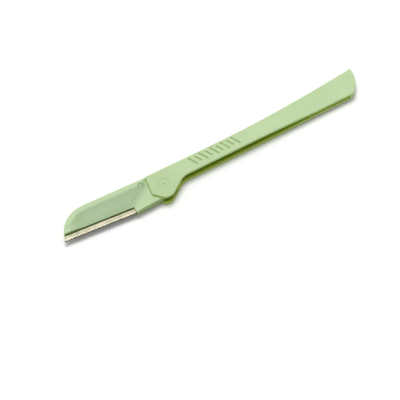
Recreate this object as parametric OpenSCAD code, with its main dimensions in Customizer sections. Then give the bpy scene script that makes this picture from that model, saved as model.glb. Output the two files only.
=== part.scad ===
// Folding eyebrow razor, opened flat.
// A slotted handle in two mouldings holds a snap pivot, and the blade head folds into the slot.
// The pivot axis is x = 0 and y = 0. The razor lies on z = 0, with the blade to the left,
// the tail to the right and the spine towards +y. Every moulding is drawn about its mid plane.

/* [Handle sizes] */
// Thickness of the handle beside the head and the grip
handle_t = 5.5; // [5:0.1:6.4]
// Thickness of the handle at the tail
tail_t = 3.6; // [3:0.1:4.4]
// Thickness of each cheek beside the head
cheek_t = 1; // [0.8:0.05:1.3]
// Thickness of each cheek at the tail
tail_cheek_t = 1; // [0.8:0.05:1.4]
// Wall that closes the slot along the spine, over the folded head
spine_wall = 1; // [0.8:0.05:1.3]
// Wall that closes the slot along the spine, behind the folded head
rear_wall = 3.6; // [3:0.1:4.5]
// Distance from the pivot to the tip of the tail
tail_reach = 109.6; // [100:0.2:125]
// Solid length of the tail behind the slot
tail_block = 10; // [8:0.5:14]
// Length over which the handle thins towards the tail
taper_l = 32; // [25:1:40]

/* [Handle outline] */
// Height of the spine over the pivot where it is lowest
spine_low = 5.55; // [5.2:0.05:6.5]
// Distance from the pivot to the lowest place of the spine
spine_dip_x = 50; // [42:1:58]
// Length over which the two straight runs of the spine blend
spine_blend = 12; // [8:1:18]
// Rise of the spine along either run, as a share of its length
spine_rise_share = 0.052; // [0.04:0.002:0.06]
// Drop of the grip edge below the pivot, beside the lobe
grip_drop = 0.75; // [0.5:0.05:1.1]
// Fall of the grip edge towards the tail, as a share of its length
grip_fall_share = 0.0415; // [0.03:0.0005:0.055]
// Distance from the pivot forward to the cheek's upper corner
cheek_reach = 4.45; // [4:0.05:5]
// Distance from the pivot forward to the cheek's jaw corner
jaw_reach = 7.35; // [6.8:0.05:8]
// Drop of the jaw corner below the pivot
jaw_drop = 2; // [1.5:0.1:2.5]
// Radius of the jaw corner
jaw_r = 1.5; // [1:0.1:2]
// Radius of the lobe below the pivot
lobe_r = 4.3; // [4:0.05:4.6]
// Distance from the pivot forward to the centre of the lobe
lobe_ahead = 1.3; // [1:0.05:1.6]
// Drop of the centre of the lobe below the pivot
lobe_drop = 3; // [2.8:0.05:3.5]
// Slope of the shoulder between the lobe and the grip edge, in degrees
shoulder_slope = 32; // [28:1:38]
// Radius of the hollow of the shoulder
shoulder_r = 8; // [5:0.5:10]
// Radius of the tail's end face
tail_end_r = 14; // [10:0.5:18]
// Radius of the tail's lower corner
tail_corner_r = 5; // [3:0.5:7]
// Radius of the tail's sharp tip
tail_tip_r = 0.3; // [0.2:0.05:0.6]

/* [Grip marks] */
// Number of grip marks on each side
mark_count = 9; // [5:2:11]
// Distance from one grip mark to the next
mark_pitch = 2.8; // [2.4:0.1:3.2]
// Distance from the pivot to the first grip mark
mark_start = 17.7; // [16:0.1:20]
// Length of a long grip mark
mark_long = 5.6; // [4.5:0.1:6]
// Length of a short grip mark
mark_short = 4.2; // [3.5:0.1:4.5]
// Width of a grip mark
mark_w = 0.95; // [0.6:0.05:1.2]
// Depth of a grip mark
mark_depth = 0.4; // [0.2:0.05:0.6]
// Lean of the grip marks towards the tail, in degrees
mark_lean = 19; // [10:1:25]
// Height of the row of grip marks over the middle of the grip
mark_raise = 0.65; // [0:0.05:0.8]

/* [Pivot] */
// Radius of the pivot pin
pin_r = 1.8; // [1.5:0.05:2.1]
// Radius of the pin's flush head and of the cap
pin_head_r = 2.7; // [2.5:0.05:3]
// Thickness of the pin's flush head and of the cap
pin_head_t = 0.5; // [0.4:0.05:0.6]
// Depth of the pin's head and of the cap below the cheek's face
flush_gap = 0.05; // [0.02:0.01:0.1]
// Radius of the cap's plug inside the pin
plug_r = 0.9; // [0.7:0.05:1]
// Length of the cap's plug
plug_l = 2.6; // [2:0.1:3]
// Radius of the gate mark in the middle of the pin's head
gate_r = 0.45; // [0.3:0.05:0.6]
// Depth of the gate mark
gate_depth = 0.25; // [0.15:0.05:0.35]
// Running clearance of the head's bore around the pin
run_clear = 0.05; // [0.03:0.01:0.08]
// Gap between neighbouring edges that do not touch
fit_gap = 0.05; // [0.03:0.01:0.1]
// Clearance of seated pins, pegs and plugs
seat_clear = 0.02; // [0.01:0.01:0.04]
// Clearance between the head and each cheek
side_clear = 0.1; // [0.05:0.01:0.2]

/* [Head] */
// Thickness of the ridge along the head's spine
ridge_t = 4.9; // [4.4:0.1:5.4]
// Thickness of the head at the shells' lower edge
web_t = 2; // [1.8:0.05:2.2]
// Width of the flat band along the head's spine and nose
band_w = 2.1; // [1.6:0.1:2.6]
// Width of the hollow between the band and the thin web
hollow_w = 8.6; // [7.5:0.1:9.5]
// Rise of the head's spine towards the nose, in degrees
head_rise = 4.75; // [3:0.25:6]
// Lean of the nose from the upright, in degrees
nose_lean = 28.8; // [22:0.2:34]
// Radius of the nose
nose_r = 15; // [13:0.5:16]
// Gap between the ridge and the cheeks' front edge
groove_w = 0.4; // [0.3:0.05:0.8]
// Radius around the pivot inside which the head is thin
relief_r = 8.2; // [8:0.1:8.8]
// Width of the ramp between the ridge and the fold line
ramp_w = 2; // [1:0.1:3]
// Length of the ramp from the thin web up to the heel's flat pad
pad_ramp = 3; // [2:0.2:4]
// Gap that the folded head keeps to the handle's walls
fold_clear = 0.2; // [0.15:0.05:0.4]
// Radius of the tang around the pivot
tang_r = 4.8; // [4.2:0.1:5.2]
// Distance from the pivot forward to the web that stops the opened head
stop_ahead = 3.5; // [3:0.1:3.8]
// Gap between the opened head and its stop
stop_gap = 0.05; // [0.03:0.01:0.15]
// Radius of the round mark beside the joint
dimple_r = 1.5; // [1:0.1:1.8]
// Distance of the round mark ahead of the groove
dimple_ahead = 3.6; // [3:0.1:6]
// Distance of the round mark below the head's spine
dimple_below = 2.8; // [2:0.1:3.5]
// Depth of the round mark
dimple_depth = 0.35; // [0.2:0.05:0.5]

/* [Blade and guard] */
// Length of the guarded cutting edge
edge_l = 33.6; // [31:0.2:35]
// Distance from the pivot forward to the heel end of the cutting edge
heel_reach = 17.6; // [17:0.1:20]
// Tilt of the cutting edge, in degrees
edge_tilt = 7.8; // [7:0.2:9]
// Height of the guard's lower face over the head's heel line
edge_lift = 0.3; // [0.1:0.05:0.6]
// Thickness of the blade
blade_t = 0.25; // [0.2:0.01:0.3]
// Width of the blade
blade_w = 6.4; // [6:0.1:7]
// Width of the blade's ground bevel
bevel_w = 0.9; // [0.6:0.1:1.2]
// Distance of the cutting edge behind the guard's fold
edge_back = 0.35; // [0.3:0.05:0.5]
// Width of the flat that is left on the cutting edge
edge_land = 0.04; // [0.02:0.01:0.06]
// Length of the blade that lies buried in the heel
heel_bury = 2; // [1:0.2:3]
// Distance of the blade behind the nose
nose_wall = 0.9; // [0.6:0.1:1.2]
// Width of the guard
guard_w = 2.45; // [2.2:0.05:2.7]
// Thickness of the guard's foil
foil_t = 0.15; // [0.12:0.01:0.2]
// Width of the bare blade between the guard and the shells
bare_w = 0.45; // [0.3:0.05:0.6]
// Distance from one guard slot to the next
slot_pitch = 1.15; // [1:0.05:1.5]
// Width of a guard slot
slot_w = 0.5; // [0.4:0.05:0.6]
// Length of a guard slot up the side of the guard
slot_l = 1.7; // [1.2:0.1:1.9]
// Radius of the pegs that hold the blade
peg_r = 0.75; // [0.6:0.05:0.9]
// Number of pegs that hold the blade
peg_count = 3; // [2:1:4]
// Height of the blade pegs over the mid plane
peg_h = 0.65; // [0.5:0.05:0.7]

/* [Handle pegs] */
// Radius of the pegs that join the handle halves
handle_peg_r = 0.9; // [0.7:0.05:1]
// Height of the handle pegs below the mid plane
handle_peg_h = 1; // [0.6:0.1:1.2]

/* [Hidden] */
fine = 64;
// Overrun of every cut past the solid that it cuts
over = 1;

handle_color = [0.72, 0.84, 0.62];
head_color = [0.66, 0.80, 0.62];
pin_color = [0.74, 0.85, 0.64];
steel_color = [0.72, 0.73, 0.74];
foil_color = [0.95, 0.94, 0.86];

// Thicknesses on either side of the mid plane
handle_half = handle_t / 2;
tail_half = tail_t / 2;
slot_half = handle_half - cheek_t;
tail_slot_half = tail_half - tail_cheek_t;
thin_half = slot_half - side_clear;
ridge_half = ridge_t / 2;
web_half = web_t / 2;
blade_half = blade_t / 2;
guard_half = blade_half + seat_clear + foil_t;

// Heights of the handle's two long edges at a distance x from the pivot
function spine_y(x) = spine_low
    + spine_rise_share * (sqrt(pow(x - spine_dip_x, 2) + pow(spine_blend, 2)) - spine_blend);
function grip_y(x) = -grip_drop - grip_fall_share * x;

// Head lines: the heel line just clears the spine wall when the head is folded
heel_y = -(spine_y(heel_reach) - spine_wall - fold_clear);
edge_y = heel_y + edge_lift;
shell_v = guard_w + bare_w;
end_slope = tan(nose_lean - edge_tilt);

// Point of the pivot frame at u along the cutting edge and v across it
function edge_at(u, v) = [-heel_reach - u * cos(edge_tilt) + v * sin(edge_tilt),
                          edge_y + u * sin(edge_tilt) + v * cos(edge_tilt)];

// Where two lines meet, each given by a point and a direction in degrees
function meet(p, a, q, b) =
    let (k = ((q.x - p.x) * sin(b) - (q.y - p.y) * cos(b)) / sin(b - a))
    [p.x + k * cos(a), p.y + k * sin(a)];

// Corner c of an outline between points a and b, rounded to radius r
function rounded(a, c, b, r, steps = 10) =
    let (d1 = (a - c) / norm(a - c), d2 = (b - c) / norm(b - c),
         half_turn = acos(max(-1, min(1, d1 * d2))) / 2,
         m = c + (d1 + d2) / norm(d1 + d2) * r / sin(half_turn),
         p = c + d1 * r / tan(half_turn) - m,
         q = c + d2 * r / tan(half_turn) - m,
         side = p.x * q.y - p.y * q.x > 0 ? 1 : -1,
         sweep = side * (180 - 2 * half_turn))
    [for (i = [0:steps])
        let (t = i / steps * sweep)
        m + [p.x * cos(t) - p.y * sin(t), p.x * sin(t) + p.y * cos(t)]];

// Handle outline
cheek_top = [-cheek_reach, spine_y(-cheek_reach)];
jaw = [-jaw_reach, -jaw_drop];
front_lean = atan2(cheek_top.y - jaw.y, cheek_top.x - jaw.x);
lobe_centre = [-lobe_ahead, -lobe_drop];
jaw_to_lobe = norm(lobe_centre - jaw);
jaw_fall = atan2(lobe_centre.y - jaw.y, lobe_centre.x - jaw.x) - asin(lobe_r / jaw_to_lobe);
shoulder_start = lobe_centre + lobe_r * [sin(shoulder_slope), -cos(shoulder_slope)];
lobe_corner = meet(jaw, jaw_fall, shoulder_start, shoulder_slope);
grip_fall = -atan(grip_fall_share);
shoulder = meet(shoulder_start, shoulder_slope, [0, grip_y(0)], grip_fall);
tail_tip = [tail_reach, spine_y(tail_reach)];
// The tail's end runs down from the tip in two leaning lines
tail_upper_lean = 12;
tail_lower_lean = 42;
tail_bend_drop_share = 0.42;
tail_depth = tail_tip.y - grip_y(tail_reach);
tail_bend = tail_tip - tail_depth * tail_bend_drop_share * [tan(tail_upper_lean), 1];
tail_corner = meet(tail_bend, 270 - tail_lower_lean, [0, grip_y(0)], grip_fall);
spine_steps = 24;

shoulder_arc = rounded(tail_corner, shoulder, lobe_corner, shoulder_r, 8);

handle_outline = concat(
    [for (i = [0:spine_steps - 1])
        let (x = -cheek_reach + (tail_reach - 2 * tail_tip_r + cheek_reach) * i / spine_steps)
        [x, spine_y(x)]],
    rounded([tail_tip.x - tail_block, spine_y(tail_tip.x - tail_block)], tail_tip, tail_bend, tail_tip_r, 3),
    rounded(tail_tip, tail_bend, tail_corner, tail_end_r, 6),
    rounded(tail_bend, tail_corner, shoulder, tail_corner_r, 6),
    shoulder_arc,
    rounded(shoulder, lobe_corner, jaw, lobe_r, 16),
    rounded(lobe_corner, jaw, cheek_top, jaw_r, 5));

// Lengths of the slot: the head lies in the front part, and the rest thins with the handle
nose_low = edge_at(edge_l, 0);
bay_reach = -nose_low.x + 4 * groove_w;
slot_reach = tail_reach - tail_block;
taper_start = spine_dip_x;
taper_end = taper_start + taper_l;

// One half of the handle's thickness, seen from the grip side
module half_profile(front, rear, start, end) {
    rotate([90, 0, 0])
        linear_extrude(height = 4 * jaw_reach, center = true)
            polygon([[-2 * jaw_reach, 0], [-2 * jaw_reach, front], [start, front],
                     [end, rear], [tail_reach + jaw_reach, rear], [tail_reach + jaw_reach, 0]]);
}

// The slot in plan: open below the spine wall, deep over the head and shallower behind it
module slot_plan() {
    polygon(concat(
        [[-stop_ahead, spine_low * 2], [-2 * jaw_reach, spine_low * 2],
         [-2 * jaw_reach, -3 * jaw_reach], [slot_reach, -3 * jaw_reach]],
        [for (i = [0:6])
            let (x = slot_reach + (bay_reach - slot_reach) * i / 6)
            [x, spine_y(x) - rear_wall]],
        [for (i = [0:10])
            let (x = bay_reach - (bay_reach + stop_ahead) * i / 10)
            [x, spine_y(x) - spine_wall]]));
}

// Length and centre of grip mark i
function mark_length(i) = i % 2 == 0 ? mark_long : mark_short;
function mark_x(i) = mark_start + i * mark_pitch;
function mark_y(i) = (spine_y(mark_x(i)) + grip_y(mark_x(i))) / 2 + mark_raise;

// Grip marks, cut down from the handle's face
module grip_marks() {
    for (i = [0:mark_count - 1])
        translate([mark_x(i), mark_y(i), handle_half - mark_depth])
            rotate([0, 0, mark_lean])
                linear_extrude(height = mark_depth + over) {
                    square([mark_w, mark_length(i) - mark_w], center = true);
                    for (s = [-1, 1])
                        translate([0, s * (mark_length(i) - mark_w) / 2])
                            circle(r = mark_w / 2, $fn = fine / 2);
                }
}

// Places of the pegs that join the handle halves
handle_peg_x = [bay_reach + rear_wall, (bay_reach + slot_reach) / 2, slot_reach + tail_block / 3];
function handle_peg_y(x) = spine_y(x) - rear_wall / 2;

module handle_pegs(radius, height) {
    for (x = handle_peg_x)
        translate([x, handle_peg_y(x), 0])
            cylinder(r = radius, h = height, $fn = fine / 2);
}

// Upper half of the handle, above the mid plane
module handle_half_shape() {
    difference() {
        intersection() {
            linear_extrude(height = handle_t) polygon(handle_outline);
            half_profile(handle_half, tail_half, taper_start, taper_end);
        }
        translate([0, 0, -over])
            intersection() {
                linear_extrude(height = handle_t) slot_plan();
                half_profile(slot_half + over, tail_slot_half + over, bay_reach, taper_end);
            }
        grip_marks();
        translate([0, 0, -over])
            cylinder(r = pin_r + seat_clear, h = handle_t, $fn = fine);
        translate([0, 0, handle_half - pin_head_t - flush_gap])
            cylinder(r = pin_head_r + seat_clear, h = pin_head_t + over, $fn = fine);
    }
}

module handle_front_half() {
    color(handle_color)
        translate([0, 0, handle_half]) {
            handle_half_shape();
            rotate([180, 0, 0])
                mirror([0, 1, 0])
                    handle_pegs(handle_peg_r, handle_peg_h);
        }
}

module handle_back_half() {
    color(handle_color)
        translate([0, 0, handle_half])
            mirror([0, 0, 1])
                difference() {
                    handle_half_shape();
                    translate([0, 0, -over])
                        handle_pegs(handle_peg_r + seat_clear, handle_peg_h + seat_clear + over);
                }
}

// The pin's head lies just under the front cheek's face, and its shaft ends on the cap
module pivot_pin() {
    pin_top = handle_t - flush_gap;
    cap_top = flush_gap + pin_head_t;
    color(pin_color)
        difference() {
            union() {
                translate([0, 0, cap_top])
                    cylinder(r = pin_r, h = pin_top - cap_top, $fn = fine);
                translate([0, 0, pin_top - pin_head_t])
                    cylinder(r = pin_head_r, h = pin_head_t, $fn = fine);
            }
            translate([0, 0, cap_top - over])
                cylinder(r = plug_r + seat_clear, h = plug_l + seat_clear + over, $fn = fine);
            translate([0, 0, pin_top - gate_depth])
                cylinder(r = gate_r, h = gate_depth + over, $fn = fine / 2);
        }
}

module pivot_cap() {
    color(pin_color)
        translate([0, 0, flush_gap]) {
            cylinder(r = pin_head_r, h = pin_head_t, $fn = fine);
            cylinder(r = plug_r, h = pin_head_t + plug_l, $fn = fine);
        }
}

// Head outline
head_spine_a = 180 - head_rise;
nose_a = 90 - nose_lean;
nose_top = meet(cheek_top, head_spine_a, nose_low, nose_a);
nose_turn = head_rise + nose_a;
nose_tangent = nose_r * tan(nose_turn / 2);
nose_centre = nose_top + nose_tangent * [cos(head_rise), -sin(head_rise)]
    - nose_r * [sin(head_rise), cos(head_rise)];
shell_nose = meet(edge_at(0, shell_v), 180 - edge_tilt, nose_low, nose_a);
groove_shift = groove_w / sin(front_lean);
groove_foot = jaw - [groove_shift, 0];
groove_top = meet(cheek_top, head_spine_a, groove_foot, front_lean);
tab_x = -stop_ahead - stop_gap;
tab_top = [tab_x, spine_y(tab_x) - fold_clear];
heel_end = edge_at(-fit_gap, shell_v);
tang_turn = acos(tab_x / tang_r);

// The head in plan, but for the blade and the guard
module shell_plan() {
    polygon(concat(
        [shell_nose],
        rounded(nose_low, nose_top, cheek_top, nose_r, 16),
        [cheek_top, tab_top],
        [for (i = [0:fine / 2])
            let (a = tang_turn - (tang_turn + 90) * i / (fine / 2))
            tang_r * [cos(a), sin(a)]],
        rounded([0, -tang_r], [-tang_r, heel_y], [-heel_reach, heel_y], jaw_r, 4),
        [[edge_at(-fit_gap, 0).x, heel_y], heel_end]));
}

// Section of the hollow, as depth below the outline against height over the mid plane
hollow_steps = 7;
hollow_base = web_half - fit_gap;
hollow_deep = nose_r - nose_wall;
hollow_section = concat(
    [[band_w, ridge_half + over]],
    [for (i = [0:hollow_steps])
        let (t = 1 - i / hollow_steps)
        [band_w + hollow_w * (1 - t), hollow_base + (ridge_half - hollow_base) * t * t]],
    [[hollow_deep, 0], [hollow_deep, ridge_half + over]]);

// Stations of the hollow, each a place on the outline and the direction into the head:
// down from the spine, round the nose and along the nose's straight
arc_steps = 12;
nose_start_a = 90 - head_rise;
nose_end_a = nose_start_a + nose_turn;
function nose_place(a) = nose_centre + nose_r * [cos(a), sin(a)];
hollow_stations = concat(
    [[cheek_top + tang_r * [cos(head_rise), -sin(head_rise)], nose_start_a + 180]],
    [for (i = [0:arc_steps])
        let (a = nose_start_a + nose_turn * i / arc_steps)
        [nose_place(a), a + 180]],
    [[nose_place(nose_end_a) + nose_r * [-sin(nose_end_a), cos(nose_end_a)], nose_end_a + 180]]);

// The hollow is one closed body, so that its three runs meet without a seam
module hollow() {
    n = len(hollow_section);
    last = len(hollow_stations) - 1;
    polyhedron(
        points = [for (q = hollow_stations) for (p = hollow_section)
            [q[0].x + p.x * cos(q[1]), q[0].y + p.x * sin(q[1]), p.y]],
        faces = concat(
            [[for (j = [0:n - 1]) j]],
            [[for (j = [0:n - 1]) last * n + n - 1 - j]],
            [for (i = [0:last - 1]) for (j = [0:n - 1]) for (half = [0:1])
                let (k = (j + 1) % n)
                half == 0 ? [i * n + j, (i + 1) * n + j, (i + 1) * n + k]
                          : [i * n + j, (i + 1) * n + k, i * n + k]]));
}

// A place on the handle's outline after half a turn about the pivot, kept clear
function turned(p) = [-p.x, fold_clear - p.y];

// The room that the handle takes when the head is folded, ramped along the grip edge
module fold_room() {
    translate([0, fold_clear - grip_y(0), 0])
        rotate([0, 0, 180 + grip_fall])
            rotate([90, 0, 90])
                linear_extrude(height = 2 * edge_l)
                    polygon([[2 * jaw_reach, thin_half], [0, thin_half], [-ramp_w, ridge_half],
                             [-ramp_w, ridge_half + over], [2 * jaw_reach, ridge_half + over]]);
    translate([0, 0, thin_half]) {
        linear_extrude(height = handle_t)
            polygon(concat([for (p = shoulder_arc) turned(p)],
                           [turned(shoulder_start), [0, 0], [turned(shoulder_arc[0]).x, 0]]));
        cylinder(r = relief_r, h = handle_t, $fn = fine);
        linear_extrude(height = handle_t)
            polygon([groove_foot - jaw_reach * [cos(front_lean), sin(front_lean)],
                     groove_top + jaw_reach * [cos(front_lean), sin(front_lean)],
                     [tang_r + jaw_reach, groove_top.y + jaw_reach],
                     [tang_r + jaw_reach, -2 * jaw_reach]]);
    }
}

// Air over the thin web, which ramps up to the flat pad of the heel and the tang
module web_air() {
    rotate([90, 0, 0])
        linear_extrude(height = 4 * jaw_reach, center = true)
            polygon([[-2 * edge_l, web_half], [-heel_reach, web_half],
                     [-heel_reach + pad_ramp, thin_half], [2 * jaw_reach, thin_half],
                     [2 * jaw_reach, handle_t], [-2 * edge_l, handle_t]]);
}

// Blade outline, widened all round by the given amount
function blade_end(v) = edge_l - nose_wall - v * end_slope;
module blade_plan(grow) {
    polygon([edge_at(-heel_bury - grow, edge_back - grow),
             edge_at(blade_end(edge_back - grow) + grow, edge_back - grow),
             edge_at(blade_end(edge_back + blade_w + grow) + grow, edge_back + blade_w + grow),
             edge_at(-heel_bury - grow, edge_back + blade_w + grow)]);
}

// Places of the pegs along the blade
peg_v = (shell_v + edge_back + blade_w) / 2;
function peg_at(i) = edge_at(blade_end(peg_v) * (i + 1 / 2) / peg_count, peg_v);
module blade_pegs(radius, height) {
    for (i = [0:peg_count - 1])
        translate([peg_at(i).x, peg_at(i).y, 0])
            cylinder(r = radius, h = height, $fn = fine / 2);
}

// Upper half of the head, above the mid plane
module head_shell_shape() {
    difference() {
        linear_extrude(height = ridge_half) shell_plan();
        intersection() {
            web_air();
            hollow();
        }
        fold_room();
        translate([0, 0, -over])
            linear_extrude(height = over + blade_half + seat_clear) blade_plan(seat_clear);
        translate([0, 0, -over])
            cylinder(r = pin_r + run_clear, h = handle_t, $fn = fine);
    }
}

// The round mark lies across the border of the band, with its floor at half the slope
dimple_place = groove_top - [dimple_ahead, dimple_below];
dimple_t = 1 - (dimple_below - band_w) / hollow_w;
dimple_z = hollow_base + (ridge_half - hollow_base) * dimple_t * dimple_t;
dimple_fall = atan((ridge_half - hollow_base) * dimple_t / hollow_w);

module head_front_shell() {
    color(head_color)
        translate([0, 0, handle_half])
            difference() {
                head_shell_shape();
                translate([0, 0, -over])
                    blade_pegs(peg_r + seat_clear, peg_h + seat_clear + over);
                translate([dimple_place.x, dimple_place.y, dimple_z])
                    rotate([dimple_fall, 0, 0])
                        translate([0, 0, -dimple_depth])
                            cylinder(r = dimple_r, h = over + dimple_depth, $fn = fine);
            }
}

module head_back_shell() {
    color(head_color)
        translate([0, 0, handle_half]) {
            mirror([0, 0, 1]) head_shell_shape();
            translate([0, 0, -blade_half - seat_clear])
                blade_pegs(peg_r, peg_h + blade_half + seat_clear);
        }
}

// The blade is ground to a bevel along its edge and lies between the shells on its pegs
module blade() {
    color(steel_color)
        translate([0, 0, handle_half])
            difference() {
                intersection() {
                    translate([0, 0, -blade_half])
                        linear_extrude(height = blade_t) blade_plan(0);
                    translate([edge_at(0, 0).x, edge_at(0, 0).y, 0])
                        mirror([1, 0, 0])
                            rotate([0, 0, edge_tilt])
                                translate([-edge_l, 0, 0])
                                    rotate([90, 0, 90])
                                        linear_extrude(height = 3 * edge_l)
                                            polygon([[edge_back, -edge_land / 2],
                                                     [edge_back + bevel_w, -blade_half - fit_gap],
                                                     [edge_back + 2 * blade_w, -blade_half - fit_gap],
                                                     [edge_back + 2 * blade_w, blade_half + fit_gap],
                                                     [edge_back + bevel_w, blade_half + fit_gap],
                                                     [edge_back, edge_land / 2]]);
                }
                translate([0, 0, -over])
                    blade_pegs(peg_r + seat_clear, 2 * over);
            }
}

// Foil guard, folded round the blade's edge and slotted through its fold
slot_count = floor((edge_l - slot_pitch) / slot_pitch);
module edge_guard() {
    color(foil_color)
        translate([edge_at(0, 0).x, edge_at(0, 0).y, handle_half])
            mirror([1, 0, 0])
                rotate([0, 0, edge_tilt])
                    difference() {
                        rotate([90, 0, 90])
                            linear_extrude(height = edge_l)
                                difference() {
                                    guard_section(guard_half, guard_w);
                                    guard_section(guard_half - foil_t, guard_w + over);
                                }
                        linear_extrude(height = 2 * over, center = true)
                            polygon([[edge_l, 0], [edge_l + over, 0], [edge_l + over, guard_w + over],
                                     [edge_l - (guard_w + over) * end_slope, guard_w + over]]);
                        for (i = [1:slot_count])
                            translate([i * slot_pitch, 0, 0]) guard_slot();
                    }
}

module guard_section(half, width) {
    translate([guard_half, 0]) circle(r = half, $fn = fine / 2);
    translate([guard_half, -half]) square([width - guard_half, 2 * half]);
}

module guard_slot() {
    translate([-slot_w / 2, -over, -over])
        cube([slot_w, slot_l - slot_w / 2 + over, 2 * over]);
    translate([0, slot_l - slot_w / 2, -over])
        cylinder(r = slot_w / 2, h = 2 * over, $fn = fine / 4);
}

handle_front_half();
handle_back_half();
pivot_pin();
pivot_cap();
head_front_shell();
head_back_shell();
blade();
edge_guard();
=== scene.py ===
import math

import bmesh
import bpy
import numpy as np
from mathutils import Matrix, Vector
from mathutils.geometry import delaunay_2d_cdt

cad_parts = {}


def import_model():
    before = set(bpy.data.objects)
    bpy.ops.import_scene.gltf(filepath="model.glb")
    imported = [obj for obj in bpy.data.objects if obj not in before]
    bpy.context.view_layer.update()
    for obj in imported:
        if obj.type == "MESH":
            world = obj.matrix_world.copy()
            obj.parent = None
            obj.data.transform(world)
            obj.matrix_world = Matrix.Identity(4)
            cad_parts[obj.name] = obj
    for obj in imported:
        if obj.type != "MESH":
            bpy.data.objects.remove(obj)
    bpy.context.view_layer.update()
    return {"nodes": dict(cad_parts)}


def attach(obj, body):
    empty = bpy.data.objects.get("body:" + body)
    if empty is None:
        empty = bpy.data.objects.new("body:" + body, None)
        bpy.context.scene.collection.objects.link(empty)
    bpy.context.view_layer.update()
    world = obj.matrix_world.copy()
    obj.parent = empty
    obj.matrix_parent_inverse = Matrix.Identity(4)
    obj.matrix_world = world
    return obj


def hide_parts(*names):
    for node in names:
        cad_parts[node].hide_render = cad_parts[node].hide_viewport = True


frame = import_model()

# Lengths are in millimetres unless a comment says metres, and most are those of the part's source
MM = 0.001
MID = 2.75
MID_Z = MID * MM

SPINE_LOW = 5.55
SPINE_RISE = 0.052
SPINE_DIP_X = 50.0
SPINE_BLEND = 12.0
GRIP_DROP = 0.75
GRIP_FALL = 0.0415
LOBE_CENTRE = (-1.3, -3.0)
LOBE_RADIUS = 4.3
SPINE_WALL = 1.0
PIN_RADIUS = 1.8
FOLD_CLEAR = 0.2
SIDE_CLEAR = 0.1
RUN_CLEAR = 0.05
SEAT_CLEAR = 0.02


def spine_y(x):
    """Height of the handle's upper long edge at a distance x from the pivot."""
    return SPINE_LOW + SPINE_RISE * (np.hypot(x - SPINE_DIP_X, SPINE_BLEND) - SPINE_BLEND)


def grip_y(x):
    """Height of the handle's lower long edge."""
    return -GRIP_DROP - GRIP_FALL * x


EDGE_TILT = math.radians(7.8)
EDGE_LIFT = 0.3
HEEL_X = -17.6
EDGE_Y = SPINE_WALL + FOLD_CLEAR + EDGE_LIFT - spine_y(-HEEL_X)


# Shader nodes

WHITE = (1.0, 1.0, 1.0)
BLACK = (0.0, 0.0, 0.0)


def new_material(name):
    mat = bpy.data.materials.new(name)
    mat.use_nodes = True
    nodes, links = mat.node_tree.nodes, mat.node_tree.links
    return mat, nodes, links, nodes["Principled BSDF"]


def maths(nodes, links, operation, first, second=None):
    """Result of a maths node, whose operands are sockets or numbers."""
    node = nodes.new("ShaderNodeMath")
    node.operation = operation
    for place, operand in zip(node.inputs, (first, second)):
        if isinstance(operand, bpy.types.NodeSocket):
            links.new(operand, place)
        elif operand is not None:
            place.default_value = operand
    return node.outputs[0]


def vector_maths(nodes, links, operation, vector, second=None, output="Value"):
    """Result of a vector maths node for a socket and a constant vector."""
    node = nodes.new("ShaderNodeVectorMath")
    node.operation = operation
    links.new(vector, node.inputs[0])
    if second is not None:
        node.inputs[1].default_value = second
    return node.outputs[output]


def mapped(nodes, links, value, low=0.0, high=1.0, to_low=0.0, to_high=1.0):
    """A value between low and high, held there and turned into one between to_low and to_high."""
    node = nodes.new("ShaderNodeMapRange")
    node.inputs["From Min"].default_value = low
    node.inputs["From Max"].default_value = high
    node.inputs["To Min"].default_value = to_low
    node.inputs["To Max"].default_value = to_high
    links.new(value, node.inputs["Value"])
    return node.outputs["Result"]


def stretched(nodes, links, coords, scale, rotation=(0.0, 0.0, 0.0)):
    node = nodes.new("ShaderNodeMapping")
    node.inputs["Scale"].default_value = scale
    node.inputs["Rotation"].default_value = rotation
    links.new(coords, node.inputs["Vector"])
    return node.outputs["Vector"]


def noise(nodes, links, coords, scale, detail=3.0, rough=0.55):
    tex = nodes.new("ShaderNodeTexNoise")
    tex.inputs["Scale"].default_value = scale
    tex.inputs["Detail"].default_value = detail
    tex.inputs["Roughness"].default_value = rough
    links.new(coords, tex.inputs["Vector"])
    return tex.outputs["Fac"]


def ramp(nodes, links, value, dark, light, low=0.0, high=1.0):
    """A colour that goes from dark at the value low to light at the value high."""
    node = nodes.new("ShaderNodeValToRGB")
    for element, position, colour in zip(node.color_ramp.elements, (low, high), (dark, light)):
        element.position = position
        element.color = (*colour, 1.0)
    links.new(value, node.inputs["Fac"])
    return node.outputs["Color"]


def bump(nodes, links, value, strength, distance, before=None):
    """A normal raised by a value; distance is in metres."""
    node = nodes.new("ShaderNodeBump")
    node.inputs["Strength"].default_value = strength
    node.inputs["Distance"].default_value = distance
    links.new(value, node.inputs["Height"])
    if before is not None:
        links.new(before, node.inputs["Normal"])
    return node.outputs["Normal"]


def multiplied(nodes, links, colour, tint):
    node = nodes.new("ShaderNodeMix")
    node.data_type = "RGBA"
    node.blend_type = "MULTIPLY"
    node.inputs["Factor"].default_value = 1.0
    links.new(colour, node.inputs["A"])
    links.new(tint, node.inputs["B"])
    return node.outputs["Result"]


def part_of(nodes, links, vector, axis):
    node = nodes.new("ShaderNodeSeparateXYZ")
    links.new(vector, node.inputs["Vector"])
    return node.outputs[axis]


# Materials

# Parts of a noise's or a node's range that its colours are spread over
NOISE_RANGE = (0.3, 0.7)
HEIGHT_RANGE = (0.1, 0.95)
LEVEL_RANGE = (0.15, 0.95)

# Depths and radii that bound the slot's painted shade and light, and the share of the depths that the
# painted light at its mouth takes
SLOT_SHADE_DEPTHS = (0.3, 2.6)
MOUTH_SHARE = 0.5
FILLED_RADII = (4.6, 6.9)
FILLED_SHADE = (0.36, 0.4, 0.3)


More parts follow.
